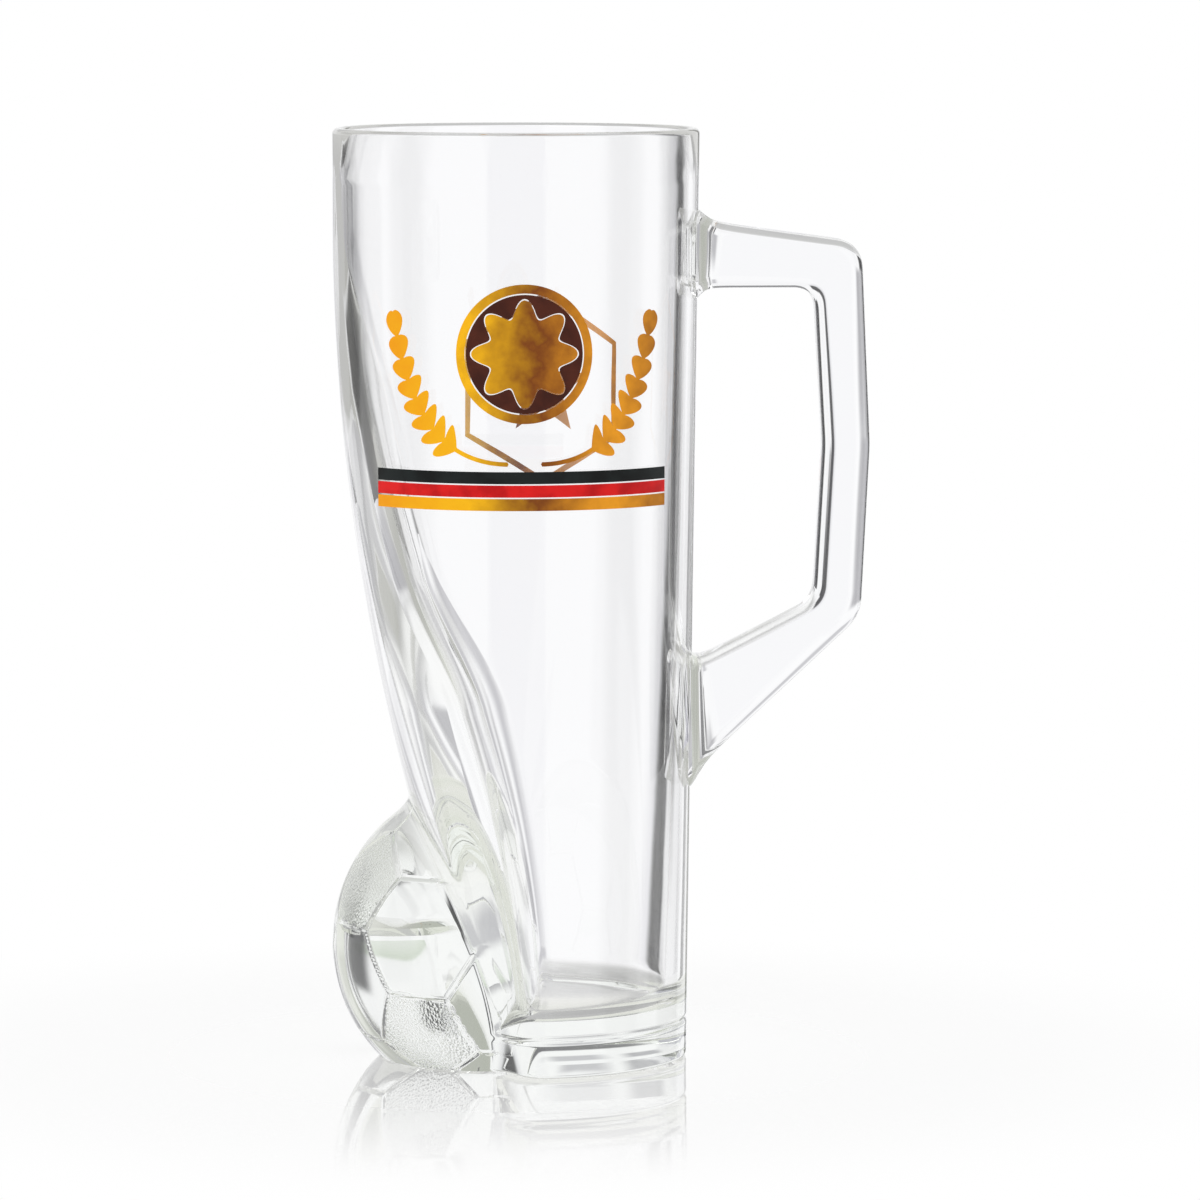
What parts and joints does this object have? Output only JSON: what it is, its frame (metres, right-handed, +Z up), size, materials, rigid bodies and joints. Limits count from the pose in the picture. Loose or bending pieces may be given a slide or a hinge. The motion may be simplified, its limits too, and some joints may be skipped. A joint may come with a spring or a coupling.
{
  "type": "beer mug",
  "caption": "Tall clear glass beer mug with a slanted front, a football moulded at the foot, a squared side handle and fired-on print.",
  "frame": {"origin": "on the axis of the round wall, at the level of the surface the mug stands on", "axes": "+Z up out of the mouth, +X towards the handle, -X towards the football, -Y towards the main print"},
  "size_m": [0.1228, 0.0835, 0.212],
  "materials": {
    "clear_glass": "fire-polished, clear with a faint green cast in thick places",
    "handle_glass": "fire-polished, clear",
    "football_glass": "clear, with stippled pentagons",
    "gold_print": "bright gold print",
    "brown_print": "glossy enamel print",
    "black_print": "glossy enamel print",
    "red_print": "glossy enamel print"
  },
  "bodies": {
    "root": {"vessel": "clear_glass", "handle": "handle_glass", "football": "football_glass", "roundel_ring": "gold_print", "roundel_field": "brown_print", "roundel_rosette": "gold_print", "barley_ear_left": "gold_print", "barley_ear_right": "gold_print", "black_band": "black_print", "red_band": "red_print", "gold_band": "gold_print", "back_hexagon": "gold_print", "back_star": "gold_print"}
  },
  "joints": []
}
